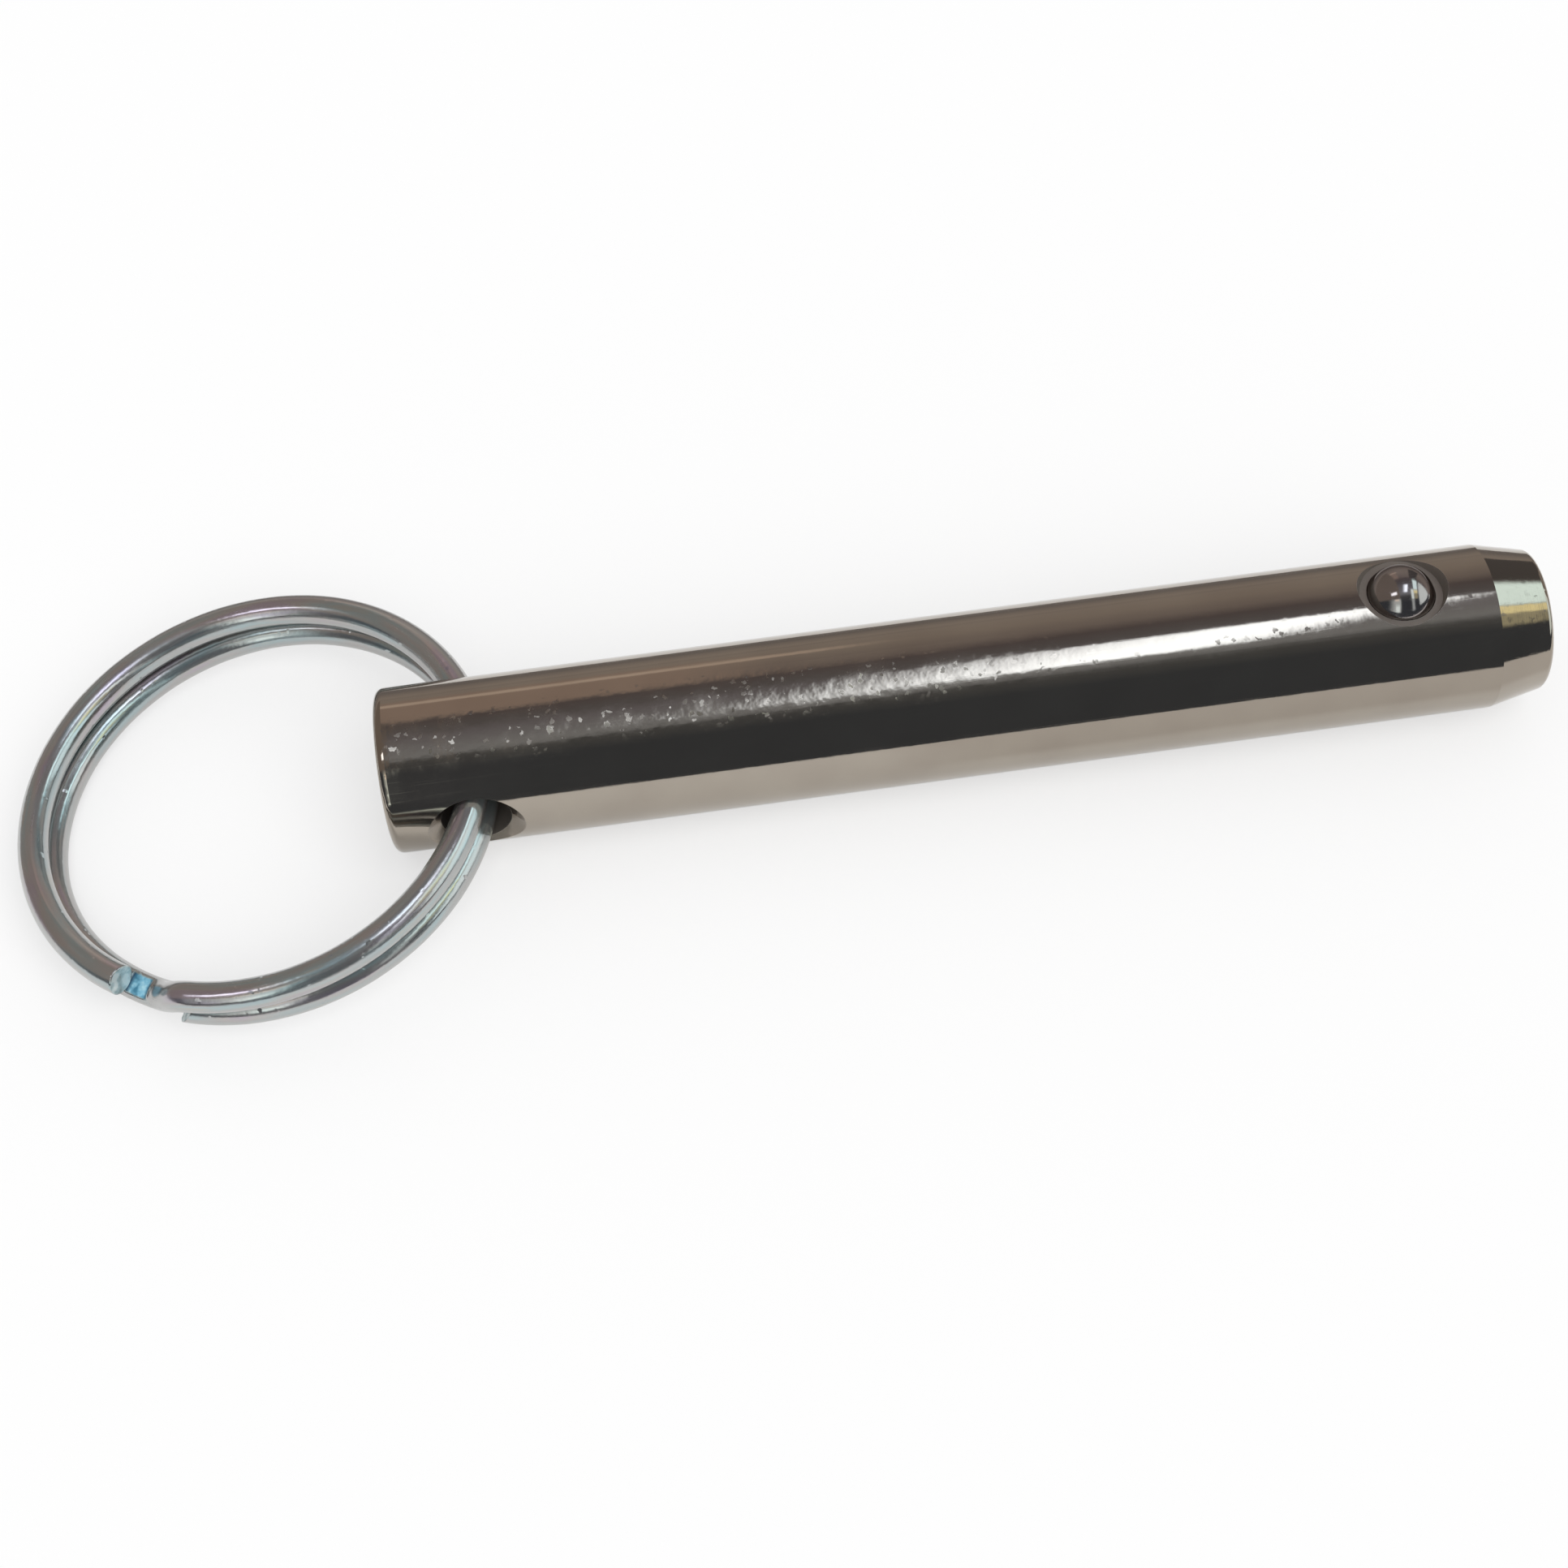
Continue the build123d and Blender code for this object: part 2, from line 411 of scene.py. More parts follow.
def maths(tree, operation, a, b=0.0, c=0.0):
    """The result of one Math node."""
    return add(tree, "ShaderNodeMath", operation, i0=a, i1=b, i2=c).outputs[0]


def ramp(tree, factor, *stops):
    """A Color Ramp: each stop is (position, colour) or (position, grey)."""
    node = add(tree, "ShaderNodeValToRGB", Fac=factor)
    bar = node.color_ramp.elements
    bar[0].position, bar[1].position = stops[0][0], stops[-1][0]
    for position, colour in stops[1:-1]:
        bar.new(position)
    for element, (position, colour) in zip(bar, stops):
        grey = isinstance(colour, (int, float))
        element.color = (colour, colour, colour, 1) if grey else (*colour, 1)
    return node.outputs["Color"]


def mix(tree, factor, a, b):
    """Two colours mixed by a factor."""
    node = tree.nodes.new("ShaderNodeMix")
    node.data_type = "RGBA"
    for number, value in ((0, factor), (6, a), (7, b)):
        if isinstance(value, bpy.types.NodeSocket):
            tree.links.new(value, node.inputs[number])
        else:
            node.inputs[number].default_value = value if number == 0 else (*value, 1)
    return node.outputs[2]


print("helpers for nodes are ready")

# %% Helpers for node groups
FLOAT, VECTOR = "NodeSocketFloat", "NodeSocketVector"


def new_group(name, inputs, outputs):
    """An empty node group with named sockets."""
    tree = bpy.data.node_groups.new(name, "ShaderNodeTree")
    for label, kind, start in inputs:
        socket = tree.interface.new_socket(label, in_out="INPUT", socket_type=kind)
        if start is not None:
            socket.default_value = start
    for label, kind in outputs:
        tree.interface.new_socket(label, in_out="OUTPUT", socket_type=kind)
    return tree, tree.nodes.new("NodeGroupInput").outputs, tree.nodes.new("NodeGroupOutput")


def use_group(tree, group, **inputs):
    """Place a group in a tree and return its outputs."""
    node = tree.nodes.new("ShaderNodeGroup")
    node.node_tree = group
    for key, value in inputs.items():
        socket = node.inputs[key.replace("_", " ")]
        if isinstance(value, bpy.types.NodeSocket):
            tree.links.new(value, socket)
        else:
            socket.default_value = value
    return node.outputs


print("helpers for groups are ready")

# %% [markdown]
# ## Plating relief
#
# Electroplate is never quite flat.  It pulls into a faint orange peel over the whole
# surface.  Where the metal under it was rough it turns hazy, and grains stand in it: small
# facets, each tilted its own way, that glint.  A Voronoi texture scatters the grains, and
# its random colour says which of its cells hold one and which way that one leans, most
# often toward +X.  A slow noise moves the cells' places a little first, so that no two
# grains have the same outline.  Both metals share this effect, so it is a node group, with
# places in millimetres.  It gives a height for the peel, a tilt for the grains, and two
# masks, Haze and Grains, for whatever a finish wants to blur there.

# %% The plating relief group
relief, given, result = new_group(
    "plating_relief",
    [("Place", VECTOR, None), ("Peel Size", FLOAT, 1.0), ("Peel Depth", FLOAT, 0.5),
     ("Grain Size", FLOAT, 0.3), ("Grain Amount", FLOAT, 0.3)],
    [("Height", FLOAT), ("Tilt", VECTOR), ("Haze", FLOAT), ("Grains", FLOAT)])
peel = add(relief, "ShaderNodeTexNoise", Vector=given["Place"], Detail=2.0, Roughness=0.45,
           Scale=maths(relief, "DIVIDE", 1.0, given["Peel Size"])).outputs["Fac"]
patches = add(relief, "ShaderNodeTexNoise", Vector=given["Place"], Scale=0.45, Detail=3.0)
haze = ramp(relief, patches.outputs["Fac"], (0.40, 0.0), (0.58, 1.0))
relief.links.new(maths(relief, "MULTIPLY", peel, given["Peel Depth"]), result.inputs["Height"])
relief.links.new(haze, result.inputs["Haze"])
print("orange peel and haze are in")

# %% The grains of the plating
wander = add(relief, "ShaderNodeTexNoise", Vector=given["Place"], Scale=3.5, Detail=1.0)
uneven = add(relief, "ShaderNodeVectorMath", "MULTIPLY_ADD", i0=wander.outputs["Color"],
             i1=(0.5, 0.5, 0.5), i2=given["Place"]).outputs[0]
cells = add(relief, "ShaderNodeTexVoronoi", Vector=uneven,
            Scale=maths(relief, "DIVIDE", 1.0, given["Grain Size"])).outputs
chance = add(relief, "ShaderNodeSeparateColor", Color=cells["Color"]).outputs["Blue"]
few = maths(relief, "LESS_THAN", chance, maths(relief, "MULTIPLY", given["Grain Amount"], haze))
dot = add(relief, "ShaderNodeMapRange", Value=cells["Distance"], From_Min=0.40, From_Max=0.28)
dot.interpolation_type = "SMOOTHSTEP"
grains = maths(relief, "MULTIPLY", dot.outputs[0], few)
facet = add(relief, "ShaderNodeVectorMath", "SUBTRACT", i0=cells["Color"], i1=(0.15, 0.5, 0.5))
tilt = add(relief, "ShaderNodeVectorMath", "SCALE", i0=facet.outputs[0], Scale=grains).outputs[0]
relief.links.new(tilt, result.inputs["Tilt"])
relief.links.new(grains, result.inputs["Grains"])
print("plating_relief has", len(relief.nodes), "nodes")

# %% [markdown]
# ## Handling scratches
#
# Pins rub against each other in a bin.  The marks are hair-thin, run every way and show
# only where light catches them.  Noise that is stretched along one direction and cut down to
# its thin crests draws them, and never repeats.  Two such noises cross each other.

# %% The scratch group
HAIRS = (((0.0, 0.5, 0.25), (0.12, 14.0, 14.0)), ((0.4, -0.3, -0.2), (0.2, 11.0, 11.0)))
scratches, given, result = new_group(
    "handling_scratches", [("Place", VECTOR, None), ("Amount", FLOAT, 0.5)], [("Marks", FLOAT)])
total = 0.0
for turn, size in HAIRS:
    turned = add(scratches, "ShaderNodeMapping", Vector=given["Place"], Rotation=turn, Scale=size)
    hair = add(scratches, "ShaderNodeTexNoise", Vector=turned.outputs[0], Scale=1.0, Detail=0.0)
    crest = ramp(scratches, hair.outputs["Fac"], (0.70, 0.0), (0.74, 1.0))
    total = maths(scratches, "ADD", crest, total)
scratches.links.new(maths(scratches, "MULTIPLY", total, given["Amount"]), result.inputs["Marks"])
print("handling_scratches has", len(scratches.nodes), "nodes")

# %% [markdown]
# ## Bright nickel
#
# The shank is ground steel under bright nickel: a warm, slightly yellow mirror.  A mirror
# shows its finish only in how it bends and blurs what it reflects, so most of the nodes
# below are masks that say where it does.  The plating is coarse in a strip along the upper
# front of the head half, and nearly smooth elsewhere.  The taper at the nose was turned with
# a tool, so it has fine rings round it.


# %% Helpers for a metal
def new_material(name):
    """A material with only a Principled shader and its output."""
    material = bpy.data.materials.new(name)
    material.use_nodes = True
    tree = material.node_tree
    return material, tree, tree.nodes["Principled BSDF"]


def in_millimetres(tree):
    """Object coordinates, in millimetres."""
    metres = tree.nodes.new("ShaderNodeTexCoord").outputs["Object"]
    return add(tree, "ShaderNodeVectorMath", "SCALE", i0=metres, Scale=1 / MM).outputs[0]


def dress(tree, shader, colour, roughness, height, depth, tilt=(0, 0, 0)):
    """Link what varies over the surface, with the relief's full depth in metres."""
    shader.inputs["Metallic"].default_value = 1.0
    tree.links.new(colour, shader.inputs["Base Color"])
    tree.links.new(roughness, shader.inputs["Roughness"])
    bump = add(tree, "ShaderNodeBump", Height=height, Distance=depth).outputs[0]
    leaning = add(tree, "ShaderNodeVectorMath", "ADD", i0=bump, i1=tilt).outputs[0]
    leaning = add(tree, "ShaderNodeVectorMath", "NORMALIZE", i0=leaning).outputs[0]
    tree.links.new(leaning, shader.inputs["Normal"])


print("helpers for metals are ready")

# %% Where the nickel is coarse
nickel, tree, shader = new_material("bright_nickel")
place = in_millimetres(tree)
axis = add(tree, "ShaderNodeSeparateXYZ", Vector=place).outputs
strip = maths(tree, "MULTIPLY_ADD", axis["Y"], 0.5 / SHANK_RADIUS, 0.5)
strip = ramp(tree, strip, (0.17, 0.0), (0.25, 1.0), (0.47, 1.0), (0.54, 0.0))
strip = maths(tree, "MULTIPLY", strip, maths(tree, "GREATER_THAN", axis["Z"], 0.0))
lengthwise = maths(tree, "DIVIDE", axis["X"], PIN_LENGTH)
lengthwise = ramp(tree, lengthwise, (0.0, 0.0), (0.012, 1.0), (0.42, 1.0), (0.62, 0.12))
strip = maths(tree, "MULTIPLY", strip, lengthwise)
coarse = maths(tree, "MULTIPLY_ADD", strip, 0.88, 0.12)
print("the coarse strip is marked")

# %% The nickel's relief: waves, peel, scratches and tool rings
grain = use_group(tree, relief, Place=place, Peel_Size=0.7, Peel_Depth=1.0, Grain_Size=0.46,
                  Grain_Amount=0.9)
marks = use_group(tree, scratches, Place=place, Amount=0.3)["Marks"]
waves = add(tree, "ShaderNodeTexNoise", Vector=place, Scale=0.4, Detail=1.0).outputs["Fac"]
height = maths(tree, "MULTIPLY", maths(tree, "MULTIPLY_ADD", waves, 1.4, grain["Height"]), coarse)
close_in_x = add(tree, "ShaderNodeVectorMath", "MULTIPLY", i0=place, i1=(16, 0.25, 0.25))
rings = add(tree, "ShaderNodeTexNoise", Vector=close_in_x.outputs[0], Scale=1.0, Detail=2.0)
on_taper = maths(tree, "GREATER_THAN", axis["X"], TAPER_START)
tool = maths(tree, "MULTIPLY", rings.outputs["Fac"], on_taper)
height = maths(tree, "MULTIPLY_ADD", tool, 0.08, height)
height = maths(tree, "MULTIPLY_ADD", marks, -0.03, height)
tilt = add(tree, "ShaderNodeVectorMath", "SCALE", i0=grain["Tilt"],
           Scale=maths(tree, "MULTIPLY", strip, 0.24))
print("the nickel's relief is in")

# %% The nickel's colour and roughness
cloud = add(tree, "ShaderNodeTexNoise", Vector=place, Scale=0.25, Detail=3.0).outputs["Fac"]
colour = ramp(tree, cloud, (0.3, (0.345, 0.305, 0.26)), (0.7, (0.375, 0.335, 0.285)))
rough = maths(tree, "MULTIPLY_ADD", cloud, 0.08, 0.03)
rough = maths(tree, "MULTIPLY_ADD", marks, 0.1, rough)
for blurred, amount in ((grain["Haze"], 0.1), (grain["Grains"], 0.18)):
    rough = maths(tree, "MULTIPLY_ADD", maths(tree, "MULTIPLY", blurred, strip), amount, rough)
print("the nickel's colour and roughness are in")

# %% [markdown]
# ## Inside the holes
#
# The walls of the ring hole and of the ball's bore are bare drilled steel, and each mouth of
# the ring hole has a deburred cone that is a little darker than the shank.  They belong to the
# same solid, so masks find them by shape: a cylinder or a cone about each hole's axis.

# %% Masks for the holes
SEAT_SLOPE, SEAT_RIM, SEAT_FLOOR_Z = 0.364, 0.845, 4.0
BORE_REACH, BORE_TIP_Z = 2.2, -3.6


def from_axis(tree, axis, x, other):
    """The distance from a hole's axis at x: the length of (X - x, other)."""
    away = maths(tree, "SUBTRACT", axis["X"], x)
    away = add(tree, "ShaderNodeCombineXYZ", X=away, **{other: axis[other]}).outputs[0]
    return add(tree, "ShaderNodeVectorMath", "LENGTH", i0=away).outputs["Value"]


from_hole = from_axis(tree, axis, RING_HOLE_X, "Z")
cone = maths(tree, "ADD", maths(tree, "ABSOLUTE", axis["Y"]), MOUTH_RADIUS + 0.02 - SHANK_RADIUS)
in_mouth = maths(tree, "LESS_THAN", from_hole, cone)
from_ball = from_axis(tree, axis, BALL_X, "Y")
seat = maths(tree, "MULTIPLY_ADD", axis["Z"], -SEAT_SLOPE, from_ball)
seat = maths(tree, "LESS_THAN", seat, SEAT_RIM)
seat = maths(tree, "MULTIPLY", seat, maths(tree, "GREATER_THAN", axis["Z"], SEAT_FLOOR_Z))
bore = maths(tree, "MULTIPLY", maths(tree, "LESS_THAN", from_ball, BORE_REACH),
             maths(tree, "GREATER_THAN", axis["Z"], BORE_TIP_Z))
drilled = maths(tree, "LESS_THAN", from_hole, RING_HOLE_RADIUS + 0.01)
drilled = maths(tree, "MAXIMUM", drilled, maths(tree, "MAXIMUM", seat, bore))
print("the holes are marked")

# %% Finish the nickel
colour = mix(tree, maths(tree, "MULTIPLY", in_mouth, 0.2), colour, (0.19, 0.16, 0.135))
rough = maths(tree, "MULTIPLY_ADD", in_mouth, 0.12, rough)
colour = mix(tree, maths(tree, "MULTIPLY", drilled, 0.8), colour, (0.25, 0.22, 0.20))
rough = maths(tree, "MULTIPLY_ADD", drilled, 0.35, rough)
dress(tree, shader, colour, rough, height, 2e-5, tilt.outputs[0])
tree.links.new(maths(tree, "MULTIPLY_ADD", drilled, -0.3, 1.0), shader.inputs["Metallic"])
print("bright_nickel has", len(tree.nodes), "nodes")

# %% [markdown]
# ## Ball steel and spring steel
#
# A bearing ball is the smoothest thing here, with only a few hairs from rolling in its
# seat.  The spring behind it is drawn wire: duller, with lines round each coil.  A noise that
# is squeezed along the spring's axis gives those lines.

# %% The ball's steel
ball_steel, tree, shader = new_material("polished_ball")
place = in_millimetres(tree)
marks = use_group(tree, scratches, Place=place, Amount=0.6)["Marks"]
cloud = add(tree, "ShaderNodeTexNoise", Vector=place, Scale=0.8, Detail=2.0).outputs["Fac"]
colour = ramp(tree, cloud, (0.3, (0.31, 0.285, 0.275)), (0.7, (0.35, 0.32, 0.31)))
rough = maths(tree, "MULTIPLY_ADD", cloud, 0.06, 0.08)
rough = maths(tree, "MULTIPLY_ADD", marks, 0.1, rough)
shader.inputs["Specular Tint"].default_value = (0.35, 0.33, 0.32, 1)
dress(tree, shader, colour, rough, marks, -1e-6)
print("polished_ball has", len(tree.nodes), "nodes")

# %% The spring's steel
spring_steel, tree, shader = new_material("drawn_spring_wire")
squeezed = add(tree, "ShaderNodeVectorMath", "MULTIPLY", i0=in_millimetres(tree), i1=(2, 2, 22))
lines = add(tree, "ShaderNodeTexNoise", Vector=squeezed.outputs[0], Scale=1.0, Detail=3.0)
lines = lines.outputs["Fac"]
colour = ramp(tree, lines, (0.3, (0.33, 0.32, 0.31)), (0.7, (0.45, 0.44, 0.43)))
dress(tree, shader, colour, maths(tree, "MULTIPLY_ADD", lines, 0.2, 0.22), lines, 4e-6)
print("drawn_spring_wire has", len(tree.nodes), "nodes")

# %% [markdown]
# ## Blue-passivated zinc
#
# The ring is zinc plated and dipped in a passivate that leaves a film a few hundred
# nanometres thick.  The film makes pale aqua where it is even and breaks into faint violet
# and straw where it isn't, and the tints fade where the surface turns away.  Its streaks
# follow the drawn wire, so the pattern reads the wire's own coordinate, which runs along it.
# The film also scatters a little light, so the ring is not quite a pure metal.

# %% The film's tints, in streaks along the wire
zinc, tree, shader = new_material("blue_passivated_zinc")
place = in_millimetres(tree)
own = add(tree, "ShaderNodeAttribute")
own.attribute_name = "wire_place"
own = own.outputs["Vector"]
drawn = add(tree, "ShaderNodeVectorMath", "MULTIPLY", i0=own, i1=(0.25, 3.5, 3.5)).outputs[0]
lines = add(tree, "ShaderNodeTexNoise", Vector=drawn, Scale=1.0, Detail=4.0, Roughness=0.6)
lines = lines.outputs["Fac"]
film = add(tree, "ShaderNodeVectorMath", "MULTIPLY", i0=own, i1=(0.16, 1.1, 1.1)).outputs[0]
film = add(tree, "ShaderNodeTexNoise", Vector=film, Scale=1.0, Detail=2.0).outputs["Fac"]
tint = ramp(tree, film, (0.32, (0.46, 0.41, 0.47)), (0.42, (0.47, 0.45, 0.44)),
            (0.52, (0.44, 0.47, 0.47)), (0.62, (0.39, 0.49, 0.51)), (0.72, (0.47, 0.47, 0.43)))
tilted = add(tree, "ShaderNodeLayerWeight", Blend=0.5).outputs["Facing"]
tint = mix(tree, ramp(tree, tilted, (0.25, 0.0), (0.7, 1.0)), tint, (0.45, 0.45, 0.44))
tint = mix(tree, ramp(tree, lines, (0.35, 0.25), (0.65, 0.0)), tint, (0.36, 0.33, 0.32))
print("the film's tints are in")

# %% [markdown]
# ## Where the wire was sheared
#
# On the cut ends the passivate lies on torn metal, matt and grey-green.  In the nick it is
# thick and blue, and it is painted darker towards the two short edges of the nick: painted
# shade for the shadowed gaps at its ends.

# %% The cut ends and the nick
torn = add(tree, "ShaderNodeAttribute")
torn.attribute_name = "sheared"
torn = torn.outputs["Fac"]
bare = add(tree, "ShaderNodeTexNoise", Vector=place, Scale=1.6, Detail=2.0).outputs["Fac"]
grey = ramp(tree, bare, (0.38, (0.26, 0.34, 0.35)), (0.5, (0.42, 0.54, 0.56)),
            (0.62, (0.66, 0.74, 0.74)))
blue = ramp(tree, bare, (0.38, (0.08, 0.28, 0.42)), (0.5, (0.24, 0.56, 0.74)),
            (0.62, (0.52, 0.82, 0.92)))
# Painted shade: the nick's blue goes nearly black towards its two short edges, where the gaps
# beside it are in shadow.
nick_edge_shade = add(tree, "ShaderNodeSeparateXYZ", Vector=own).outputs["X"]
nick_edge_shade = maths(tree, "ABSOLUTE", maths(tree, "SUBTRACT", nick_edge_shade, (NICK_FROM + NICK_TO) / 2))
nick_edge_shade = maths(tree, "SUBTRACT", (NICK_TO - NICK_FROM) / 2, nick_edge_shade)
blue = mix(tree, ramp(tree, nick_edge_shade, (0.1, 0.0), (0.3, 1.0)), (0.015, 0.06, 0.12), blue)
colour = mix(tree, ramp(tree, torn, (0.0, 0.0), (0.5, 1.0)), tint, grey)
colour = mix(tree, ramp(tree, torn, (0.5, 0.0), (1.0, 1.0)), colour, blue)
print("the sheared places are coloured")

# %% Finish the zinc
grain = use_group(tree, relief, Place=place, Peel_Size=0.5, Peel_Depth=0.55, Grain_Size=0.4,
                  Grain_Amount=0.15)
rough = maths(tree, "MULTIPLY_ADD", torn, 0.3, maths(tree, "MULTIPLY", lines, 0.4))
height = maths(tree, "MULTIPLY_ADD", lines, 0.35, grain["Height"])
tilt = add(tree, "ShaderNodeVectorMath", "SCALE", i0=grain["Tilt"], Scale=0.3).outputs[0]
dress(tree, shader, colour, rough, height, 2e-5, tilt)
tree.links.new(maths(tree, "MULTIPLY_ADD", torn, -0.65, 0.9), shader.inputs["Metallic"])
print("blue_passivated_zinc has", len(tree.nodes), "nodes")

# %% [markdown]
# ## Put the finishes on
#
# Each material slot of the solids is given its finish, and the two swept pieces get theirs.
# The swept ring and spring stand in for the solid ones, which aren't shown.

# %% Put the finishes on the pieces
FINISHES = {"pin_body": nickel, "detent_ball": ball_steel, "detent_spring": spring_steel}
for name, material in FINISHES.items():
    for material_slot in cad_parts[name].material_slots:
        material_slot.material = material
ring_wire.data.materials.append(zinc)
spring_coil.data.materials.append(spring_steel)
print("every piece has its finish")

# %% [markdown]
# ## The studio
#
# Polished metal shows its surroundings, so the studio matters as much as the finish.  The
# pin lies on a pale floor.  Over it hangs a grey tent, seen only in reflections: nearly
# black in front, where the camera stands, and warm grey behind.  Bright panes are painted on
# its inside.  A wide, soft sun lights the floor and casts the shadows.


# %% Helpers for the studio
def studio_piece(name, vertices, faces, tree_maker):
    """A mesh that belongs to the studio and not to the pin."""
    piece = make_piece(name, vertices, faces)
    piece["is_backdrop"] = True
    material = bpy.data.materials.new(name)
    material.use_nodes = True
    material.node_tree.nodes.clear()
    tree_maker(material.node_tree)
    piece.data.materials.append(material)
    return piece


def smooth_step(tree, value, low, high):
    """0 below low, 1 above high, and 3 t^2 - 2 t^3 between."""
    node = add(tree, "ShaderNodeMapRange", Value=value, From_Min=low, From_Max=high)
    node.interpolation_type = "SMOOTHSTEP"
    return node.outputs[0]


def between(tree, value, rise, fall):
    """1 inside a range, with one soft edge where it rises and one where it falls."""
    inside = maths(tree, "SUBTRACT", 1.0, smooth_step(tree, value, *fall))
    return maths(tree, "MULTIPLY", smooth_step(tree, value, *rise), inside)


print("helpers for the studio are ready")

# %% [markdown]
# ## The floor
#
# The floor is matt cloth, so one diffuse shader is enough.  The Light Path node gives each
# kind of ray its own cloth.  Light bounces from it as from white.  To the camera it is a
# middle grey that also glows, so it is white where it is lit and its shadows stay pale.  In
# reflections it glows a little too, and a painted shadow lies on it in front of the nose half,
# seen only in reflections, which darkens the lower side of the shank there.

# %% The floor's cloth and its painted shadow
# The second grey is a painted shadow on the floor in front of the nose half, seen only by glossy
# rays; the three pairs below are its soft edges, in metres.
WHITE, REFLECTED_SHADE_GREY, SEEN = (0.94, 0.94, 0.94), (0.80, 0.785, 0.77), (0.46, 0.46, 0.46)
SEEN_GLOW, REFLECTED_GLOW = 0.52, 0.09
SHADE_FADE_X, SHADE_FRONT_Y, SHADE_BACK_Y = (0.028, 0.037), (-0.055, -0.04), (-0.010, -0.007)


def floor_finish(tree):
    """Diffuse cloth plus a glow, both chosen by the kind of ray; places are in metres."""
    path = tree.nodes.new("ShaderNodeLightPath").outputs
    seen = maths(tree, "MAXIMUM", path["Is Camera Ray"], path["Is Transmission Ray"])
    here = tree.nodes.new("ShaderNodeTexCoord").outputs["Object"]
    side = add(tree, "ShaderNodeSeparateXYZ", Vector=here).outputs
    # Painted shadow: the floor is darker here for glossy rays only, so the lower side of the shank
    # looks shaded in reflections.
    painted_shade = maths(tree, "MULTIPLY", smooth_step(tree, side["X"], *SHADE_FADE_X),
                 between(tree, side["Y"], SHADE_FRONT_Y, SHADE_BACK_Y))
    painted_shade = maths(tree, "MULTIPLY", painted_shade, path["Is Glossy Ray"])
    cloth = mix(tree, seen, mix(tree, painted_shade, WHITE, REFLECTED_SHADE_GREY), SEEN)
    cloth = add(tree, "ShaderNodeBsdfDiffuse", Color=cloth)
    glow = maths(tree, "MULTIPLY", seen, SEEN_GLOW)
    glow = maths(tree, "MULTIPLY_ADD", path["Is Glossy Ray"], REFLECTED_GLOW, glow)
    glow = add(tree, "ShaderNodeEmission", Strength=glow)
    both = add(tree, "ShaderNodeAddShader", i0=cloth.outputs[0], i1=glow.outputs[0])
    add(tree, "ShaderNodeOutputMaterial", Surface=both.outputs[0])


floor_z = cad_box[0].z / MM
FLOOR_REACH = 6000.0
corners = np.array([[-1, -1], [1, -1], [1, 1], [-1, 1]]) * FLOOR_REACH
studio_piece("studio_floor", np.c_[corners, np.full(4, floor_z)], [[0, 1, 2, 3]], floor_finish)
print("floor at", round(floor_z, 3), "mm")

# %% [markdown]
# ## The tent and its panes
#
# A round bar shows the things about it as streaks along itself, so the tent is described the
# way the bar sees it.  One number is the angle round the pin: 0 degrees in front, 90 straight
# up and 180 behind.  The other is how far a direction leans along the pin, from -1 at the
# head end to 1 at the nose.  TONES gives the colour of the cloth at some of the angles.
#
# Each row of PANES is one pane: its colour, its two soft edges along the pin, and its two
# soft edges round it.  A soft edge is a pair, from where it starts to where it is done, and
# EVER is an edge that lies out of reach.  "leaning" is "across" for a pane that slants.
# Later panes lie over earlier ones, and a colour above 1 is brighter than white cloth.  The
# brightest one, which slants, draws the white streak along the shank.
#
# A low skirt of the same cloth, without panes, stands close round the pin.  It hides the far
# floor, which would show in the metal as a white band up to the horizon.

# %% The panes
BRIGHTEST = 4.0
EVER = (-200, -190)
PANES = (((0.29, 0.245, 0.215), ("across", EVER, (-0.2, -0.12)), ((48, 60), (190, 200))),
         ((0.92, 1.0, 0.98), ("across", (-0.8, -0.4), (-0.17, -0.12)), (EVER, (48, 58))),
         ((1.7, 1.95, 1.9), ("across", (-0.45, -0.38), (-0.26, -0.18)), (EVER, (22, 40))),
         ((0.48, 0.375, 0.325), ("across", (-0.2, -0.12), (0.0, 0.08)), ((122, 130), (156, 164))),
         ((0.80, 0.66, 0.57), ("across", (-0.2, -0.12), (0.06, 0.12)), ((149, 151), (154, 157))),
         ((0.78, 0.86, 0.86), ("across", (0.43, 0.48), (0.56, 0.60)), ((5, 10), (50, 56))),
         ((1.7, 1.95, 1.9), ("across", (0.44, 0.48), (0.56, 0.60)), ((46, 52), (78, 86))),
         ((3.05, 3.4, 3.85), ("leaning", (0.05, 0.27), (0.31, 0.36)), ((72, 76), (97, 101))),
         ((0.13, 0.12, 0.12), ("across", (0.48, 0.52), (0.72, 0.75)), ((119, 128), (174, 179))),
         ((1.35, 1.5, 1.5), ("across", (0.77, 0.81), (5, 6)), ((14, 20), (112, 125))),
         ((0.68, 0.64, 0.44), ("across", (0.58, 0.62), (0.72, 0.76)), ((44, 52), (66, 72))),
         ((1.75, 1.6, 0.9), ("across", (0.57, 0.61), (0.72, 0.76)), ((66, 70), (79, 83))),
         ((1.7, 2.15, 2.2), ("across", (0.57, 0.61), (0.72, 0.76)), ((79, 85), (115, 126))),
         ((1.6, 1.4, 1.2), ("across", (-0.50, -0.44), (-0.26, -0.22)), ((46, 48), (52, 54))),
         ((3.2, 3.3, 3.5), ("across", (-0.62, -0.56), (-0.34, -0.28)), ((69, 71), (79, 81))))
print("the tent has", len(PANES), "panes")

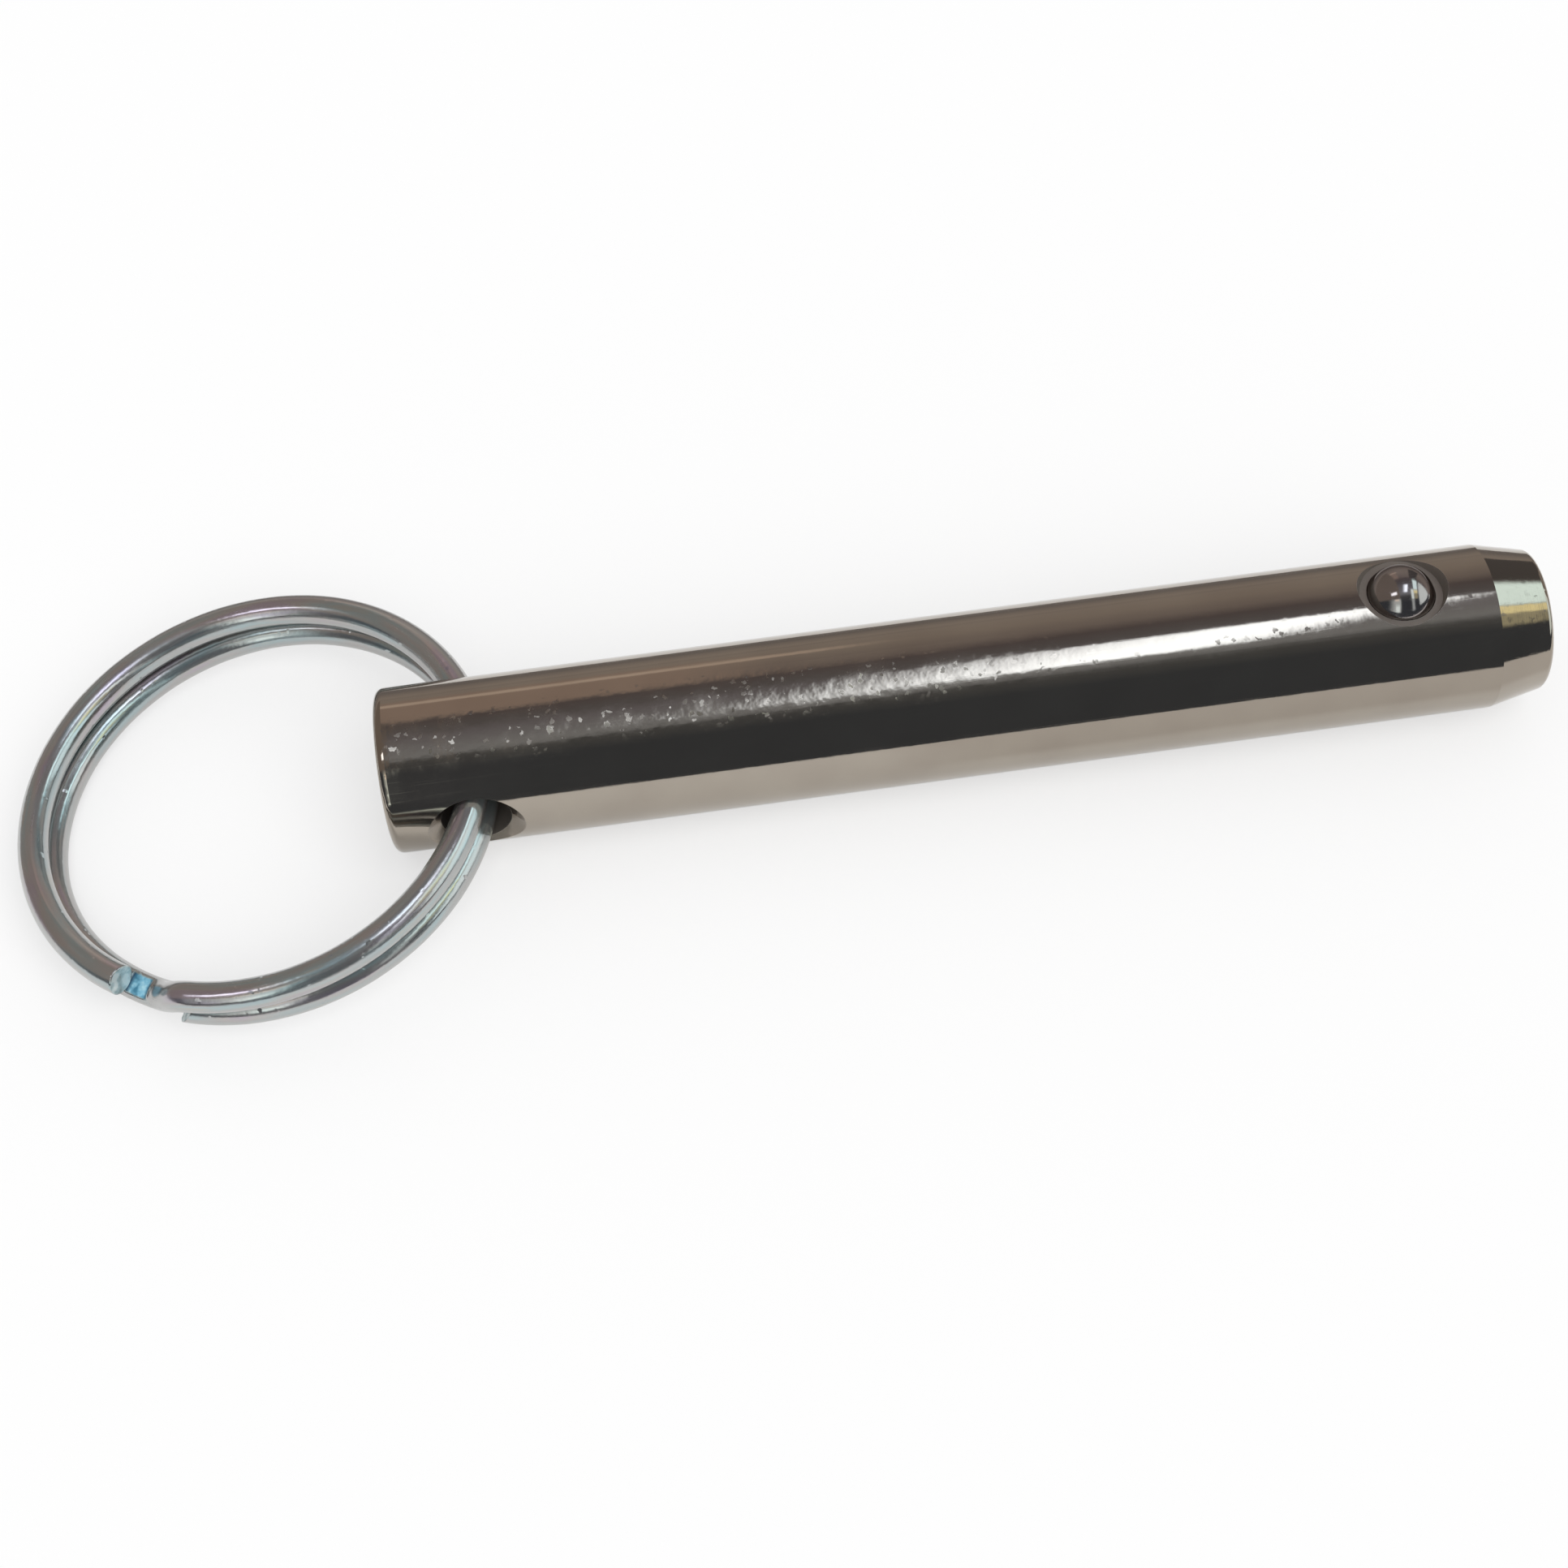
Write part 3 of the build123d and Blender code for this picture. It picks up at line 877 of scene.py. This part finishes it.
# %% The tent's cloth
TONES = ((0, (0.078, 0.086, 0.098)), (45, (0.078, 0.086, 0.098)), (60, (0.13, 0.135, 0.14)),
         (70, (0.38, 0.40, 0.43)), (95, (0.26, 0.25, 0.28)), (106, (0.19, 0.18, 0.19)),
         (119, (0.17, 0.145, 0.15)), (132, (0.32, 0.275, 0.26)), (150, (0.42, 0.365, 0.33)),
         (166, (0.44, 0.385, 0.35)), (180, (0.26, 0.235, 0.225)))
SLANT, UPRIGHT_AT = 0.0038, 93


def dimmed(colour):
    """A colour as a share of BRIGHTEST, which the shader's Strength multiplies back."""
    return tuple(np.array(colour) / BRIGHTEST)


def tent_finish(tree, panes):
    """Glowing cloth: its tone follows the angle round the pin, and panes lie over it.

    "across" is the X part of a direction, and "leaning" is across + SLANT (UPRIGHT_AT - angle).
    """
    here = tree.nodes.new("ShaderNodeTexCoord").outputs["Object"]
    way = add(tree, "ShaderNodeVectorMath", "NORMALIZE", i0=here).outputs[0]
    side = add(tree, "ShaderNodeSeparateXYZ", Vector=way).outputs
    tall = maths(tree, "MAXIMUM", side["Z"], 0.0)
    angle = maths(tree, "ARCTAN2", tall, maths(tree, "MULTIPLY", side["Y"], -1.0))
    angle = maths(tree, "MULTIPLY", angle, 180 / math.pi)
    stops = [(degrees / 180, dimmed(tone)) for degrees, tone in TONES]
    tone = ramp(tree, maths(tree, "DIVIDE", angle, 180.0), *stops)
    leaning = maths(tree, "ADD", side["X"], UPRIGHT_AT * SLANT)
    leaning = maths(tree, "MULTIPLY_ADD", angle, -SLANT, leaning)
    sides = {"across": side["X"], "leaning": leaning}
    for colour, (value, rise, fall), (low, high) in panes:
        lit = maths(tree, "MULTIPLY", between(tree, sides[value], rise, fall),
                    between(tree, angle, low, high))
        tone = mix(tree, lit, tone, dimmed(colour))
    glow = add(tree, "ShaderNodeEmission", Color=tone, Strength=BRIGHTEST)
    add(tree, "ShaderNodeOutputMaterial", Surface=glow.outputs[0])


print("the tent's tone has", len(TONES), "stops")


# %% Put up the tent and its skirt
def dome(radius, lift, rows=24, around=96):
    """A half sphere on the floor: radius (cos e cos a, cos e sin a, sin e), closed at the top."""
    e = np.linspace(0, np.pi / 2, rows + 1)[:-1]
    e, a = np.meshgrid(e, np.linspace(0, 2 * np.pi, around, endpoint=False), indexing="ij")
    grid = radius * np.stack([np.cos(e) * np.cos(a), np.cos(e) * np.sin(a), np.sin(e)], -1)
    i, j = np.meshgrid(np.arange(rows - 1), np.arange(around), indexing="ij")
    k = (j + 1) % around
    quads = [i * around + j, i * around + k, (i + 1) * around + k, (i + 1) * around + j]
    j, last, top = np.arange(around), (rows - 1) * around, rows * around
    fan = np.stack([last + j, last + (j + 1) % around, np.full(around, top)], -1)
    points = np.concatenate([grid.reshape(-1, 3), [[0, 0, radius]]]) + [0, 0, lift]
    return points, np.stack(quads, -1).reshape(-1, 4).tolist() + fan.tolist()


TENT_RADIUS, SKIRT_HEIGHT = 900.0, 14
points, faces = dome(TENT_RADIUS, floor_z)
tent = studio_piece("studio_tent", points, faces, lambda tree: tent_finish(tree, PANES))
foot = np.array([[-90, -58], [150, -40], [150, 30], [-90, 30]], float)
posts = np.concatenate([np.c_[foot, np.full(4, floor_z)],
                        np.c_[foot * 1.02, np.full(4, floor_z + SKIRT_HEIGHT)]])
walls = [[n, (n + 1) % 4, 4 + (n + 1) % 4, 4 + n] for n in range(4)]
skirt = studio_piece("studio_tent_skirt", posts, walls, lambda tree: tent_finish(tree, ()))
for cloth in (tent, skirt):
    cloth.visible_camera = cloth.visible_diffuse = cloth.visible_shadow = False
    cloth.visible_transmission = False
print("the tent and its skirt are up, for reflections only")

# %% [markdown]
# ## Sun and sky
#
# The tent lights nothing, so two plain lights do: a white sky, and one sun as wide as a
# window, whose shadow fades the way a shadow indoors does.  Together they are only as bright
# as it takes for a colour to come out about as it is written.


# %% The sun
def soft_sun(name, way, spread, strength):
    """Even light from one side: a sun as wide as a window, so that its shadows are soft."""
    data = bpy.data.lights.new(name, "SUN")
    data.angle, data.energy = math.radians(spread), strength
    lamp = bpy.data.objects.new(name, data)
    lamp.rotation_euler = Vector(way).to_track_quat("Z", "Y").to_euler()
    lamp.visible_camera = lamp.visible_glossy = False
    scene.collection.objects.link(lamp)


soft_sun("window_light", (0.3, -0.57, 0.77), 60.0, 1.55)

# %% The sky
SKY_LIGHT = 0.65
world = bpy.data.worlds.new("studio_air")
scene.world = world
world.use_nodes = True
tree = world.node_tree
path = tree.nodes.new("ShaderNodeLightPath").outputs
seen = maths(tree, "MAXIMUM", path["Is Glossy Ray"], path["Is Transmission Ray"])
seen = maths(tree, "MAXIMUM", path["Is Camera Ray"], seen)
strength = maths(tree, "MULTIPLY_ADD", seen, 1 - SKY_LIGHT, SKY_LIGHT)
tree.links.new(strength, tree.nodes["Background"].inputs["Strength"])
tree.nodes["Background"].inputs["Color"].default_value = (1, 1, 1, 1)
print("the sky looks white and lights by", SKY_LIGHT)

# %% [markdown]
# ## The camera
#
# The camera looks down at a little over half a right angle, from close by, so the ring end
# is seen slightly larger than it would be from afar.  It leans so that the pin rises to the
# right across the view.  Its three directions are written down and made square to each
# other, which fixes the view better than turning it by hand.

# %% The camera
right = Vector((0.99057, -0.12885, -0.04655))
back = Vector((-0.03363, -0.55809, 0.82910))
above = back.cross(right).normalized()
right = above.cross(back).normalized()
back.normalize()
aim, distance = Vector((22.50, -2.90, -2.40)) * MM, 150.87 * MM
camera = bpy.data.objects.new("camera", bpy.data.cameras.new("camera"))
camera.data.lens, camera.data.sensor_width = 60.05, 36.0
camera.data.clip_start, camera.data.clip_end = 0.01, 20.0
turn = Matrix((right, above, back)).transposed()
camera.matrix_world = Matrix.Translation(aim + distance * back) @ turn.to_4x4()
scene.collection.objects.link(camera)
scene.camera = camera
scene.view_settings.view_transform = "Standard"
print("camera at", [round(v / MM, 1) for v in camera.matrix_world.translation], "mm")

# %% Measure the sizes of the solids and of the scene, and finish
size = {"cad": [list(v) for v in cad_box], "visual": [list(v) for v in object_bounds()]}
